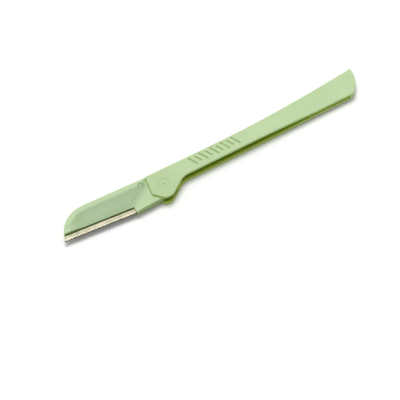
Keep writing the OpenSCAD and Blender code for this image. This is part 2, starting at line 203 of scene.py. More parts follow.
def painted_wall_shade(nodes, links, coords, normal, wall, foot):
    """Painted shade: white on level faces; on upright ones wall at the handle's top, down to foot at its
    bottom, so that walls are darker than tops and darker still near the floor.
    """
    height = mapped(nodes, links, part_of(nodes, links, coords, "Z"), 0.0, 2 * MID_Z)
    side = ramp(nodes, links, height, foot, wall, *HEIGHT_RANGE)
    level = maths(nodes, links, "ABSOLUTE", part_of(nodes, links, normal, "Z"))
    mixed = nodes.new("ShaderNodeMix")
    mixed.data_type = "RGBA"
    links.new(ramp(nodes, links, level, BLACK, WHITE, *LEVEL_RANGE), mixed.inputs["Factor"])
    links.new(side, mixed.inputs["A"])
    mixed.inputs["B"].default_value = (*WHITE, 1.0)
    return mixed.outputs["Result"]


def painted_slot_shade(nodes, links, coords, mouth, deep):
    """Painted light and shade in the slot: mouth at the slot's opening is painted light, soon white
    behind it and down to deep inside, which is painted shade: the depth is taken from the line of the
    grip edge and from the arc of the lobe, whichever is the deeper. Around the pivot, where the head
    fills the slot, painted shade makes it darker still."""
    along_grip = vector_maths(nodes, links, "DOT_PRODUCT", coords, (GRIP_FALL, 1.0, 0.0))
    from_grip = maths(nodes, links, "ADD", along_grip, GRIP_DROP * MM)
    flat = vector_maths(nodes, links, "MULTIPLY", coords, (1.0, 1.0, 0.0), output="Vector")
    lobe_centre = (LOBE_CENTRE[0] * MM, LOBE_CENTRE[1] * MM, 0.0)
    from_centre = vector_maths(nodes, links, "DISTANCE", flat, lobe_centre)
    from_lobe = maths(nodes, links, "SUBTRACT", LOBE_RADIUS * MM, from_centre)
    depth = maths(nodes, links, "MAXIMUM", from_grip, from_lobe)
    share = mapped(nodes, links, depth, *(d * MM for d in SLOT_SHADE_DEPTHS))
    inside_shade = ramp(nodes, links, share, WHITE, deep)
    opening = ramp(nodes, links, share, mouth, WHITE, 0.0, MOUTH_SHARE)
    from_pivot = vector_maths(nodes, links, "LENGTH", flat)
    around = mapped(nodes, links, from_pivot, *(r * MM for r in FILLED_RADII))
    filled = ramp(nodes, links, around, FILLED_SHADE, WHITE)
    return multiplied(nodes, links, multiplied(nodes, links, inside_shade, opening), filled)


def moulded_plastic(name, dark, light, wall, foot, shaded=WHITE, mouth=None, deep=None):
    """Satin injection-moulded plastic: faint flow clouds, a fine grain and a soft inner glow. Painted
    light and shade multiply the colour: on upright walls by wall down to foot, painted shade that is
    darker towards the floor; at the slot's mouth by mouth, painted light; inside the slot by deep,
    painted shade; and where the mesh's attribute shade is 1 by shaded, painted shade."""
    mat, nodes, links, shader = new_material(name)
    texture = nodes.new("ShaderNodeTexCoord")
    coords = texture.outputs["Object"]
    flow = stretched(nodes, links, coords, scale=(0.35, 1.0, 1.0))
    clouds = noise(nodes, links, flow, scale=90.0, detail=2.0, rough=0.5)
    colour = ramp(nodes, links, clouds, dark, light, *NOISE_RANGE)
    tint = painted_wall_shade(nodes, links, coords, texture.outputs["Normal"], wall, foot)
    colour = multiplied(nodes, links, colour, tint)
    if deep is not None:
        colour = multiplied(nodes, links, colour, painted_slot_shade(nodes, links, coords, mouth, deep))
    shade = nodes.new("ShaderNodeAttribute")
    shade.attribute_name = "shade"
    colour = multiplied(nodes, links, colour, ramp(nodes, links, shade.outputs["Fac"], WHITE, shaded))
    links.new(colour, shader.inputs["Base Color"])
    mottle = noise(nodes, links, coords, scale=700.0)
    roughness = mapped(nodes, links, mottle, to_low=0.32, to_high=0.44)
    links.new(roughness, shader.inputs["Roughness"])
    waves = noise(nodes, links, coords, scale=260.0, detail=2.0, rough=0.4)
    grain = noise(nodes, links, coords, scale=9000.0, detail=2.0)
    coarse = bump(nodes, links, waves, strength=0.12, distance=0.06 * MM)
    fine = bump(nodes, links, grain, strength=0.10, distance=0.012 * MM, before=coarse)
    links.new(fine, shader.inputs["Normal"])
    shader.inputs["Subsurface Weight"].default_value = 0.35
    shader.inputs["Subsurface Radius"].default_value = (0.8, 1.0, 0.2)
    shader.inputs["Subsurface Scale"].default_value = 1.2 * MM
    shader.inputs["Specular IOR Level"].default_value = 0.42
    shader.inputs["IOR"].default_value = 1.49
    return mat


# Painted shade on the steel's upright faces, darker towards the floor
STEEL_WALL_SHADE = (0.14, 0.13, 0.1)
STEEL_FOOT_SHADE = (0.09, 0.08, 0.06)
EDGE_FADE = 0.1
ROUGHNESS_SPREAD = 0.12


def ground_steel(name, dark, light, roughness, edge_width, edge_tone_and_shade):
    """Steel with fine grinding lines across the edge; nearer to the edge than edge_width its colour is
    multiplied by the given edge colour: the blade's steel is lighter there, and the guard foil has
    painted shade along its lower rim. Its upright faces have painted shade, darker towards the floor."""
    mat, nodes, links, shader = new_material(name)
    texture = nodes.new("ShaderNodeTexCoord")
    coords = texture.outputs["Object"]
    turned = stretched(nodes, links, coords, scale=(1.0, 0.04, 1.0), rotation=(0.0, 0.0, EDGE_TILT))
    lines = noise(nodes, links, turned, scale=9000.0)
    patches = noise(nodes, links, coords, scale=500.0, detail=2.0)
    colour = ramp(nodes, links, patches, dark, light, *NOISE_RANGE)
    tint = painted_wall_shade(nodes, links, coords, texture.outputs["Normal"], STEEL_WALL_SHADE, STEEL_FOOT_SHADE)
    colour = multiplied(nodes, links, colour, tint)
    up = (math.sin(EDGE_TILT), math.cos(EDGE_TILT), 0.0)
    across = vector_maths(nodes, links, "DOT_PRODUCT", coords, up)
    low = (HEEL_X * up[0] + EDGE_Y * up[1] + edge_width - EDGE_FADE / 2) * MM
    depth = mapped(nodes, links, across, low, low + EDGE_FADE * MM)
    colour = multiplied(nodes, links, colour, ramp(nodes, links, depth, edge_tone_and_shade, WHITE))
    links.new(colour, shader.inputs["Base Color"])
    shader.inputs["Metallic"].default_value = 1.0
    rough = roughness + ROUGHNESS_SPREAD
    spread = mapped(nodes, links, lines, to_low=roughness, to_high=rough)
    links.new(spread, shader.inputs["Roughness"])
    scratches = bump(nodes, links, lines, strength=0.25, distance=0.006 * MM)
    links.new(scratches, shader.inputs["Normal"])
    return mat


# Painted shade on upright plastic walls, darker towards the floor; the head's darker foot is the painted
# shadow under the heel
WALL_SHADE = (0.84, 0.91, 0.56)
HANDLE_FOOT_SHADE = (0.76, 0.76, 0.47)
HEAD_FOOT_SHADE = (0.36, 0.38, 0.26)
HANDLE_PLASTIC = moulded_plastic("handle_plastic", dark=(0.47, 0.62, 0.34), light=(0.52, 0.67, 0.38),
                                 wall=WALL_SHADE, foot=HANDLE_FOOT_SHADE, shaded=(0.78, 0.79, 0.64))
# The slot's faces: a more saturated copy of the green plastic, painted with shade inside the slot and
# with light at its mouth
SHADED_SLOT_PLASTIC = moulded_plastic("slot_plastic_shade", dark=(0.48, 0.68, 0.05), light=(0.53, 0.73, 0.07),
                               wall=WALL_SHADE, foot=HANDLE_FOOT_SHADE, mouth=(1.5, 1.3, 3.8),
                               deep=(0.42, 0.49, 0.04))
HEAD_PLASTIC = moulded_plastic("head_plastic", dark=(0.46, 0.61, 0.345), light=(0.51, 0.66, 0.385),
                               wall=WALL_SHADE, foot=HEAD_FOOT_SHADE, shaded=(0.69, 0.73, 0.70))
BLADE_STEEL = ground_steel("blade_steel", dark=(0.10, 0.10, 0.09), light=(0.14, 0.14, 0.13),
                           roughness=0.28, edge_width=2.2, edge_tone_and_shade=(3.0, 2.85, 2.5))
# The guard foil's lower rim is darkened by painted shade
GUARD_STEEL = ground_steel("guard_foil", dark=(0.30, 0.285, 0.195), light=(0.49, 0.47, 0.34),
                           roughness=0.42, edge_width=0.22, edge_tone_and_shade=(0.3, 0.29, 0.24))


# Outlines

# Points nearer to each other than these, in metres, are taken as one
WELD = 1e-7
CUT_SNAP = 1e-8
CUT_WELD = 2e-6
JOIN_WELD = 1e-6


def place_of(vert):
    return vert.co.x, vert.co.y


def cut_outline(node, height):
    """The longest outline of a CAD solid cut level at a height over the mid plane, anticlockwise. The
    walk round it starts at its lowest x, so that every run gives the same points in one order."""
    bm = bmesh.new()
    bm.from_mesh(frame["nodes"][node].data)
    bmesh.ops.remove_doubles(bm, verts=bm.verts, dist=WELD)
    bmesh.ops.bisect_plane(bm, geom=bm.verts[:] + bm.edges[:] + bm.faces[:], dist=CUT_SNAP,
                           plane_co=(0, 0, MID_Z + height * MM), plane_no=(0, 0, 1),
                           clear_inner=True, clear_outer=True)
    bmesh.ops.remove_doubles(bm, verts=bm.verts, dist=CUT_WELD)
    best = []
    left = set(bm.verts)
    while left:
        here = min(left, key=place_of)
        left.discard(here)
        loop = [here]
        while here is not None:
            steps = [e.other_vert(here) for e in here.link_edges if e.other_vert(here) in left]
            here = min(steps, key=place_of) if steps else None
            if here is not None:
                left.discard(here)
                loop.append(here)
        if len(loop) > 2 and reach(loop) > reach(best):
            best = loop
    points = np.array([(v.co.x, v.co.y) for v in best]) / MM
    bm.free()
    ahead = np.roll(points, -1, axis=0)
    if np.sum(points[:, 0] * ahead[:, 1] - ahead[:, 0] * points[:, 1]) < 0:
        points = points[::-1]
    return straightened(points)


def reach(loop):
    return max(v.co.x for v in loop) - min(v.co.x for v in loop) if loop else 0.0


def straightened(points, least=0.0015):
    """An outline without the points that lie on a straight run."""
    kept = list(points)
    i = 0
    while i < len(kept):
        a, b, c = kept[i - 1], kept[i], kept[(i + 1) % len(kept)]
        span = c - a
        off = abs(span[0] * (b - a)[1] - span[1] * (b - a)[0]) / max(np.hypot(*span), 1e-9)
        if off < least:
            kept.pop(i)
            i = max(i - 1, 0)
        else:
            i += 1
    return np.array(kept)


def divided(points, longest):
    """An outline with its long runs divided evenly."""
    out = []
    for a, b in zip(points, np.roll(points, -1, axis=0)):
        count = max(1, math.ceil(np.hypot(*(b - a)) / longest))
        out += [a + (b - a) * k / count for k in range(count)]
    return np.array(out)


def inward(points):
    """For each point of an outline the step that moves it and its neighbours' edges inwards by 1."""
    ahead = np.roll(points, -1, axis=0) - points
    ahead = ahead / np.hypot(ahead[:, 0], ahead[:, 1])[:, None]
    normal = np.stack([-ahead[:, 1], ahead[:, 0]], axis=1)
    before = np.roll(normal, 1, axis=0)
    return (normal + before) / (1 + np.sum(normal * before, axis=1))[:, None]


def nearest(points, outline, width):
    """Distance of each point to an outline, and the outline's width value at that place."""
    ahead = np.roll(outline, -1, axis=0)
    width_ahead = np.roll(width, -1)
    least = np.full(len(points), 1e9)
    value = np.zeros(len(points))
    for a, b, wa, wb in zip(outline, ahead, width, width_ahead):
        run = b - a
        share = np.clip(((points - a) @ run) / (run @ run), 0, 1)
        far = np.hypot(*(points - a - share[:, None] * run).T)
        closer = far < least
        least = np.where(closer, far, least)
        value = np.where(closer, wa + (wb - wa) * share, value)
    return least, value


def inside(points, outline):
    """Whether each point lies inside an outline."""
    found = np.zeros(len(points), dtype=bool)
    for a, b in zip(outline, np.roll(outline, -1, axis=0)):
        spans = (a[1] > points[:, 1]) != (b[1] > points[:, 1])
        rise = b[1] - a[1] if b[1] != a[1] else 1e-12
        cross = a[0] + (points[:, 1] - a[1]) / rise * (b[0] - a[0])
        found ^= spans & (points[:, 0] < cross)
    return found


# Moulded halves

# An edge is rounded by a ring of points at each of these angles; a point is left out where less
# than RING_SHARE of the ring's depth is clear
ROUND_ANGLES = (18, 36, 54, 72, 90)
RING_SHARE = 0.95
INNER_GAP = 0.12
SNAP = 1e-5
PARTING = 0.05
SHARP_ANGLE = 32.0


def ring_edges(place):
    """Edges round a closed ring, from the index of each of its points; -1 is a point left out."""
    return [(place[i - 1], place[i]) for i in range(len(place)) if min(place[i - 1], place[i]) >= 0]


def moulded_half(name, side, outline, edge_round, height, inner, inner_loops):
    """A closed half shell: its top follows height over the outline, with edges rounded to the radius
    that edge_round gives at each place, and its walls go down to the mid plane, where a small slope
    makes the parting line. Points of inner and inner_loops shape the top."""
    radius = edge_round(outline[:, 0], outline[:, 1])
    steps = inward(outline)
    points = list(outline)
    edges = [(i, (i + 1) % len(outline)) for i in range(len(outline))]
    for angle in ROUND_ANGLES:
        depth = radius * (1 - math.cos(math.radians(angle)))
        ring = outline + steps * depth[:, None]
        clear = (nearest(ring, outline, radius)[0] > RING_SHARE * depth) & inside(ring, outline)
        place = [-1] * len(ring)
        for i in np.nonzero(clear)[0]:
            place[i] = len(points)
            points.append(ring[i])
        edges += ring_edges(place)
    for loop in inner_loops:
        start = len(points)
        points += list(loop)
        edges += [(start + i, start + (i + 1) % len(loop)) for i in range(len(loop))]
    inner = np.array(inner)
    depth, width = nearest(inner, outline, radius)
    points += list(inner[(depth > width + INNER_GAP) & inside(inner, outline)])
    flat, _, faces, _, _, _ = delaunay_2d_cdt([Vector(p) for p in points], edges, [], 0, SNAP)
    flat = np.array([tuple(p) for p in flat])
    centres = np.array([flat[list(f)].mean(axis=0) for f in faces])
    faces = [f for f, keep in zip(faces, inside(centres, outline)) if keep]
    depth, width = nearest(flat, outline, radius)
    short = np.clip(width - depth, 0, None)
    z = height(flat[:, 0], flat[:, 1]) - (width - np.sqrt(np.clip(width ** 2 - short ** 2, 0, None)))

    bm = bmesh.new()
    verts = [bm.verts.new((x, y, h)) for (x, y), h in zip(flat, z)]
    for face in faces:
        bm.faces.new([verts[i] for i in face])
    bmesh.ops.delete(bm, geom=[v for v in bm.verts if not v.link_faces], context="VERTS")
    for v in drawn_down(bm):
        v.co.z = PARTING
    foot = drawn_down(bm)
    ends = np.array([(v.co.x, v.co.y) for v in foot])
    order = [int(np.argmin(np.hypot(*(outline - p).T))) for p in ends]
    for v, i in zip(foot, order):
        v.co.x += steps[i][0] * PARTING
        v.co.y += steps[i][1] * PARTING
        v.co.z = 0.0
    bmesh.ops.edgeloop_fill(bm, edges=open_edges(bm))
    bmesh.ops.recalc_face_normals(bm, faces=bm.faces)
    for v in bm.verts:
        v.co = Vector((v.co.x, v.co.y, MID + side * v.co.z)) * MM
    if side < 0:
        bmesh.ops.reverse_faces(bm, faces=bm.faces)
    return new_object(name, bm)


def open_edges(bm):
    return [e for e in bm.edges if len(e.link_faces) == 1]


def drawn_down(bm):
    """Walls made from all open edges: their new points, which start where the old ones are."""
    made = bmesh.ops.extrude_edge_only(bm, edges=open_edges(bm))["geom"]
    return [g for g in made if isinstance(g, bmesh.types.BMVert)]


def new_object(name, bm):
    mesh = bpy.data.meshes.new(name)
    bm.to_mesh(mesh)
    bm.free()
    piece = bpy.data.objects.new(name, mesh)
    bpy.context.scene.collection.objects.link(piece)
    return piece


def post(x, y, radius, low, high, side):
    """A round cutter or peg between two heights over the mid plane."""
    bm = bmesh.new()
    bmesh.ops.create_cone(bm, cap_ends=True, segments=64, radius1=radius * MM, radius2=radius * MM,
                          depth=(high - low) * MM)
    for v in bm.verts:
        v.co += Vector((x, y, MID + side * (low + high) / 2)) * MM
    return new_object("post", bm)


def prism(outline, low, high, side):
    """An upright cutter over an outline, between two heights over the mid plane."""
    bm = bmesh.new()
    lower = [bm.verts.new(Vector((x, y, MID + side * low)) * MM) for x, y in outline]
    upper = [bm.verts.new(Vector((x, y, MID + side * high)) * MM) for x, y in outline]
    bm.faces.new(lower)
    bm.faces.new(upper)
    join_rings(bm, lower, upper)
    bmesh.ops.recalc_face_normals(bm, faces=bm.faces)
    return new_object("prism", bm)


def join_rings(bm, a, b):
    for i in range(len(a)):
        k = (i + 1) % len(a)
        bm.faces.new([a[i], a[k], b[k], b[i]])


def carved(piece, cuts, adds=()):
    """The piece with cutters taken away and pegs joined on."""
    for other, how in [(c, "DIFFERENCE") for c in cuts] + [(a, "UNION") for a in adds]:
        step = piece.modifiers.new("carve", "BOOLEAN")
        step.operation = how
        step.solver = "EXACT"
        step.object = other
    whole = piece.evaluated_get(bpy.context.evaluated_depsgraph_get())
    mesh = bpy.data.meshes.new_from_object(whole)
    piece.modifiers.clear()
    piece.data = mesh
    for other in list(cuts) + list(adds):
        bpy.data.objects.remove(other)
    return piece


def flattened(piece, weight, keep_sharp):
    """Weighted normals, which keep flat faces flat beside rounded edges."""
    flat = piece.modifiers.new("flat", "WEIGHTED_NORMAL")
    flat.mode = "FACE_AREA"
    flat.weight = weight
    flat.keep_sharp = keep_sharp


def finished(piece, node, body, materials):
    """Smooth shading with flat faces kept flat, and the piece's place in the frame."""
    mesh = piece.data
    for face in mesh.polygons:
        face.use_smooth = True
    mesh.set_sharp_from_angle(angle=math.radians(SHARP_ANGLE))
    for material in materials:
        mesh.materials.append(material)
    flattened(piece, weight=60, keep_sharp=True)
    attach(piece, body)
    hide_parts(node)
    return piece


def set_shade(piece, share):
    """The mesh attribute shade, from a function of each vertex's place."""
    places = np.array([tuple(v.co) for v in piece.data.vertices]) / MM
    layer = piece.data.attributes.new("shade", "FLOAT", "POINT")
    layer.data.foreach_set("value", share(places[:, 0], places[:, 1]).astype(np.float32))


def smooth(value):
    share = np.clip(value, 0.0, 1.0)
    return share * share * (3.0 - 2.0 * share)


# Heights over the mid plane of the ends of cutters that reach past the piece
CUT_LOW = -1.0
CUT_HIGH = 4.0


# The handle halves

CHEEK = 1.0
TAIL_HALF = 1.8
SLOT_HALF = MID - CHEEK
TAIL_SLOT_HALF = TAIL_HALF - CHEEK
OUTLINE_LEVEL = (SLOT_HALF + TAIL_HALF) / 2
BAY_END = 52.49
TAPER_START = SPINE_DIP_X
TAPER_END = 82.0
SLOT_END = 99.6
STOP_X = -3.5
REAR_WALL = 3.6

# Where the slot is open its cutter reaches past the handle; an upright step is this wide
SLOT_FRONT = -15.0
SLOT_FOOT = -22.0
SLOT_ROOF = 12.0
SLOT_STEP = 0.001

# The handle's edges have the least rounding at the tail's tip, and MORE_ROUND more from ROUND_RUN on
TAIL_TIP = (109.5, 8.1)
TIP_ROUND = 0.25
MORE_ROUND = 0.2
ROUND_RUN = 4.0
HANDLE_STEP = 2.5
TAPER_COLUMNS = 9
TAPER_SHARES = (0.2, 0.4, 0.6, 0.8)

MARK_COUNT = 9
MARK_START = 17.7
MARK_PITCH = 2.8
MARK_RAISE = 0.65
MARK_LONG = 5.6
MARK_SHORT = 4.2
MARK_WIDTH = 0.95
MARK_DEPTH = 0.4
MARK_RAMP = 0.4
MARK_EASE = 0.03
MARK_SHADE_RAMP = 0.3
MARK_SHADE_EASE = 0.14
MARK_LEAN = math.radians(19.0)
MARK_END_STEPS = 8
MARK_LOOPS = (0.14, 0.04, -0.02, -0.1, -0.18, -0.27, -0.37)

# The shade of the cheek, and how far from the outline and the slot's wall a face counts as inside
CHEEK_SHADE = 0.3
CHEEK_SHADE_START = 4.0
CHEEK_SHADE_RUN = 9.0
SKIN = 0.06
SLOT_SLACK = 0.01

PIN_HEAD_RADIUS = 2.7
PIN_HEAD_THICK = 0.5
FLUSH_GAP = 0.05
HANDLE_PEGS = (56.2, 76.1, 102.9)
HANDLE_PEG_RADIUS = 0.9
HANDLE_PEG_LENGTH = 1.0
HANDLE_PEG_ROOT = 0.6


def marks():
    """Middle and length of each grip mark, long and short by turns."""
    for i in range(MARK_COUNT):
        x = MARK_START + MARK_PITCH * i
        yield x, (spine_y(x) + grip_y(x)) / 2 + MARK_RAISE, MARK_LONG if i % 2 == 0 else MARK_SHORT


def mark_loop(x, y, length, radius):
    """A round-ended loop about a grip mark's middle line."""
    straight = (length - MARK_WIDTH) / 2
    loop = []
    for turn in (90, 270):
        for k in range(MARK_END_STEPS + 1):
            angle = math.radians(turn - 90 + 180 * k / MARK_END_STEPS)
            across = radius * math.cos(angle)
            along = radius * math.sin(angle) + (straight if turn == 90 else -straight)
            loop.append((x + across * math.cos(MARK_LEAN) - along * math.sin(MARK_LEAN),
                         y + across * math.sin(MARK_LEAN) + along * math.cos(MARK_LEAN)))
    return loop


def from_marks(x, y):
    """Distance to the middle line of the nearest grip mark."""
    least = np.full(len(x), 1e3)
    for mx, my, length in marks():
        across = (x - mx) * math.cos(MARK_LEAN) + (y - my) * math.sin(MARK_LEAN)
        along = (y - my) * math.cos(MARK_LEAN) - (x - mx) * math.sin(MARK_LEAN)
        away = np.hypot(across, np.clip(np.abs(along) - (length - MARK_WIDTH) / 2, 0.0, None))
        least = np.minimum(least, away)
    return least


def handle_height(x, y):
    """Height of the handle's face: level, then lower along the taper, with sunk grip marks."""
    taper = np.clip((x - TAPER_START) / (TAPER_END - TAPER_START), 0.0, 1.0)
    top = MID - (MID - TAIL_HALF) * taper
    return top - MARK_DEPTH * smooth((MARK_WIDTH / 2 + MARK_EASE - from_marks(x, y)) / MARK_RAMP)


def mark_shade(x, y):
    """Painted shade: 1 in the grip marks, which darkens their grooves, and a little over the cheek,
    which darkens it as if the shaded slot showed through the plastic.
    """
    cheek = CHEEK_SHADE * (1.0 - smooth((x - CHEEK_SHADE_START) / CHEEK_SHADE_RUN))
    mark = smooth((MARK_WIDTH / 2 + MARK_SHADE_EASE - from_marks(x, y)) / MARK_SHADE_RAMP)
    return np.maximum(mark, cheek)


def handle_edge_round(x, y):
    to_tip = np.hypot(x - TAIL_TIP[0], y - TAIL_TIP[1])
    return TIP_ROUND + MORE_ROUND * np.clip(to_tip / ROUND_RUN, 0.0, 1.0)


def slot_half_at(x):
    share = min(max((x - BAY_END) / (TAPER_END - BAY_END), 0.0), 1.0)
    return SLOT_HALF + (TAIL_SLOT_HALF - SLOT_HALF) * share


def slot_cutter(side):
    """The room between the cheeks: open to the front and the grip edge, shallower behind the bay."""
    columns = [(SLOT_FRONT, SLOT_ROOF), (STOP_X - SLOT_STEP, SLOT_ROOF)]
    columns += [(x, spine_y(x) - SPINE_WALL) for x in np.linspace(STOP_X, BAY_END, 15)]
    columns += [(x, spine_y(x) - REAR_WALL) for x in np.linspace(BAY_END + SLOT_STEP, TAPER_END, 7)]
    columns += [(x, spine_y(x) - REAR_WALL) for x in np.linspace(TAPER_END, SLOT_END, 5)[1:]]
    bm = bmesh.new()
    rings = []
    for x, high in columns:
        half = slot_half_at(x)
        corners = [(SLOT_FOOT, CUT_LOW), (high, CUT_LOW), (high, half), (SLOT_FOOT, half)]
        rings.append([bm.verts.new(Vector((x, y, MID + side * z)) * MM) for y, z in corners])
    for a, b in zip(rings, rings[1:]):
        join_rings(bm, a, b)
    bm.faces.new(rings[0])
    bm.faces.new(rings[-1])
    bmesh.ops.recalc_face_normals(bm, faces=bm.faces)
    return new_object("slot", bm)


def paint_inside(piece, side, outline):
    """The slot's walls take the second material, whose deep green is painted shade and painted bounce
    light inside the slot.
    """
    mesh = piece.data
    centres = np.array([tuple(face.center) for face in mesh.polygons]) / MM
    depth = nearest(centres[:, :2], outline, np.zeros(len(outline)))[0]
    for face, (x, y, z), d in zip(mesh.polygons, centres, depth):
        if d > SKIN and side * (z - MID) < slot_half_at(x) + SLOT_SLACK:
            face.material_index = 1


def handle_half(name, node, side):
    outline = divided(cut_outline("handle_front_half", OUTLINE_LEVEL), HANDLE_STEP)
    loops = [mark_loop(x, y, length, MARK_WIDTH / 2 + off)
             for x, y, length in marks() for off in MARK_LOOPS]
    across = [(x, grip_y(x) + (spine_y(x) - grip_y(x)) * share)
              for x in np.linspace(TAPER_START, TAPER_END, TAPER_COLUMNS) for share in TAPER_SHARES]
    piece = moulded_half(name, side, outline, handle_edge_round, handle_height, across, loops)
    cuts = [slot_cutter(side),
            post(0, 0, PIN_RADIUS + SEAT_CLEAR, CUT_LOW, CUT_HIGH, side),
            post(0, 0, PIN_HEAD_RADIUS + SEAT_CLEAR, MID - PIN_HEAD_THICK - FLUSH_GAP, CUT_HIGH, side)]
    pegs = [(x, spine_y(x) - REAR_WALL / 2) for x in HANDLE_PEGS]
    if side > 0:
        carved(piece, cuts, [post(x, y, HANDLE_PEG_RADIUS, -HANDLE_PEG_LENGTH, HANDLE_PEG_ROOT, side)
                             for x, y in pegs])
    else:
        carved(piece, cuts + [post(x, y, HANDLE_PEG_RADIUS + SEAT_CLEAR, CUT_LOW,
                                   HANDLE_PEG_LENGTH + SEAT_CLEAR, side) for x, y in pegs])
    finished(piece, node, "handle", [HANDLE_PLASTIC, SHADED_SLOT_PLASTIC])
    paint_inside(piece, side, outline)
    set_shade(piece, mark_shade)
    return piece


# The head shells

RIDGE = 2.45
WEB = 1.0
THIN = SLOT_HALF - SIDE_CLEAR
BAND = 2.1
HOLLOW_WIDTH = 8.6
HOLLOW_BASE = 0.95
PAD_RAMP = 3.0
WEB_BLEND = 0.12
TANG_BLEND = 0.06
NOSE_RADIUS = 15.0
NOSE_LEAN = 28.8
NOSE_WALL = 0.9
HEAD_RISE = 4.75
HEAD_BORE = PIN_RADIUS + RUN_CLEAR
EDGE_LENGTH = 33.6

RELIEF = 8.0
RELIEF_RAMP = 2.2
RELIEF_LOOPS = ((-0.1, 0.0), (0.25, 0.4), (0.7, 0.9), (1.2, 1.4), (1.8, 2.1))
RELIEF_TURNS = np.arange(129.0, 178.0, 2.0)
RIB_REACH = 2.5
RIB_WIDTH = 2.2
GROOVE_LEAN = 73.5
GROOVE_RAMP = 0.1
GROOVE_LOOPS = ((-0.24, -0.19), (-0.16, -0.13), (-0.09, 0.0))
GROOVE_SHIFT = 0.417
GROOVE_PLACES = np.arange(5.0, 11.0, 0.25)
CHEEK_X = -4.45
JAW = (-7.35, -2.0)
SHOULDER_SLOPE = 32.0
SHOULDER_AT = (-0.98, 6.85)
FOLD_RAMP = 3.0

DIMPLE_AT = np.array((-8.46, 5.06))
DIMPLE_RADIUS = 1.5
DIMPLE_DEPTH = 0.35
DIMPLE_RAMP = 0.42
DIMPLE_EASE = 0.05
DIMPLE_LOOPS = (0.6, 0.95, 1.1, 1.25, 1.4, 1.56, 1.66)

BLADE_HALF = 0.125
BLADE_WIDTH = 6.4
EDGE_BACK = 0.35
HEEL_BURY = 2.0
PEG_COUNT = 3
PEG_ACROSS = 4.825
PEG_RADIUS = 0.75
PEG_LENGTH = 0.65
PEG_ROOT = 0.5

# Rounding of the head's edges
SHELL_ROUND = 0.12
SPINE_MORE = 0.38
PAD_ROUND = 0.28
PAD_SPAN = (HEEL_X - 0.1, -7.0)
TANG_ROUND = 0.1
TANG_START = -5.3

# Where the attribute shade starts and how wide its slopes are
WEB_EARLY = 0.5
WEB_RUN = 2.0
PAD_AT = (-16.0, -2.5)
PAD_OUT = (0.5, -0.87)
PAD_EARLY = 3.0
PAD_RUN = 4.8
NOSE_LESS = 0.4
NOSE_START = 36.0
NOSE_RUN = 10.0
TANG_REACH = 6.9
TANG_RUN = 0.7
RING_OUTER = 1.66
RING_OUTER_RUN = 0.2
RING_INNER = 0.6
RING_INNER_RUN = 0.4

# The head's outline, its divided runs, the grid that shapes its top, and its faces in the slot, which
# take the slot's painted shade
HEAD_LEVEL = 0.8
HEAD_STEP = 0.9
HEAD_GRID = 0.42
DEEP_REACH = 6.0
DEEP_TOP = 3.0


def unit(degrees):
    return np.array((math.cos(math.radians(degrees)), math.sin(math.radians(degrees))))


def edge_at(u, v):
    """A place at u along the cutting edge from the heel and v across it."""
    return np.array((HEEL_X - u * math.cos(EDGE_TILT) + v * math.sin(EDGE_TILT),
                     EDGE_Y + u * math.sin(EDGE_TILT) + v * math.cos(EDGE_TILT)))


CHEEK_TOP = np.array((CHEEK_X, spine_y(CHEEK_X)))
NOSE_LOW = edge_at(EDGE_LENGTH, 0.0)
GROOVE_FOOT = np.array((JAW[0] - GROOVE_SHIFT, JAW[1]))
SPINE_IN = unit(270.0 - HEAD_RISE)
NOSE_IN = unit(-NOSE_LEAN)


def nose_centre():
    """Middle of the nose's arc: one radius in from the spine's line and from the nose's line."""
    lines = np.array((SPINE_IN, NOSE_IN))
    return np.linalg.solve(lines, (SPINE_IN @ CHEEK_TOP + NOSE_RADIUS, NOSE_IN @ NOSE_LOW + NOSE_RADIUS))


NOSE_CENTRE = nose_centre()


def past(x, y, start, direction):
    """Distance past a line through start, which faces the given direction."""
    return (x - start[0]) * direction[0] + (y - start[1]) * direction[1]


def spine_depth(x, y):
    """Distance below the head's spine and behind its nose."""
    dx, dy = x - NOSE_CENTRE[0], y - NOSE_CENTRE[1]
    turn = np.degrees(np.arctan2(dy, dx))
    round_nose = (turn > 90 - HEAD_RISE) & (turn < 180 - NOSE_LEAN)
    straight = np.minimum(past(x, y, CHEEK_TOP, SPINE_IN), past(x, y, NOSE_LOW, NOSE_IN))
    return np.where(round_nose, NOSE_RADIUS - np.hypot(dx, dy), straight)


def soft_min(a, b, blend):
    share = np.clip(0.5 + 0.5 * (b - a) / blend, 0.0, 1.0)
    return b + (a - b) * share - blend * share * (1.0 - share)


def fold_share(x, y):
    """0 in the room that the handle takes when the head is folded, rising to 1 outside it."""
    circle = np.hypot(x, y) - RELIEF
    rib = RIB_REACH * (1.0 - smooth(spine_depth(x, y) / RIB_WIDTH))
    around = smooth((circle + rib) / RELIEF_RAMP)
    groove = past(x, y, GROOVE_FOOT, unit(GROOVE_LEAN + 90)) + FOLD_CLEAR
    shoulder = past(x, y, SHOULDER_AT, unit(SHOULDER_SLOPE + 90))
    grip = y - (GRIP_DROP + FOLD_CLEAR - GRIP_FALL * x)
    outside = smooth(soft_min(shoulder, grip, FOLD_RAMP) / FOLD_RAMP)
    return around * smooth(groove / GROOVE_RAMP) * outside


def head_height(x, y):
    """Height of the head's face: a thick spine, a hollow that falls to the thin web over the blade, a
    pad at the heel, the thinner tang and the sunk round mark."""
    share = np.clip(1.0 - (spine_depth(x, y) - BAND) / HOLLOW_WIDTH, 0.0, 1.0)
    hollow = HOLLOW_BASE + (RIDGE - HOLLOW_BASE) * share ** 2
    web = WEB + (THIN - WEB) * smooth((x - HEEL_X) / PAD_RAMP)
    top = -soft_min(-hollow, -web, WEB_BLEND)
    top = soft_min(top, THIN + (RIDGE - THIN) * fold_share(x, y), TANG_BLEND)
    away = np.hypot(x - DIMPLE_AT[0], y - DIMPLE_AT[1])
    return top - DIMPLE_DEPTH * smooth((DIMPLE_RADIUS + DIMPLE_EASE - away) / DIMPLE_RAMP)


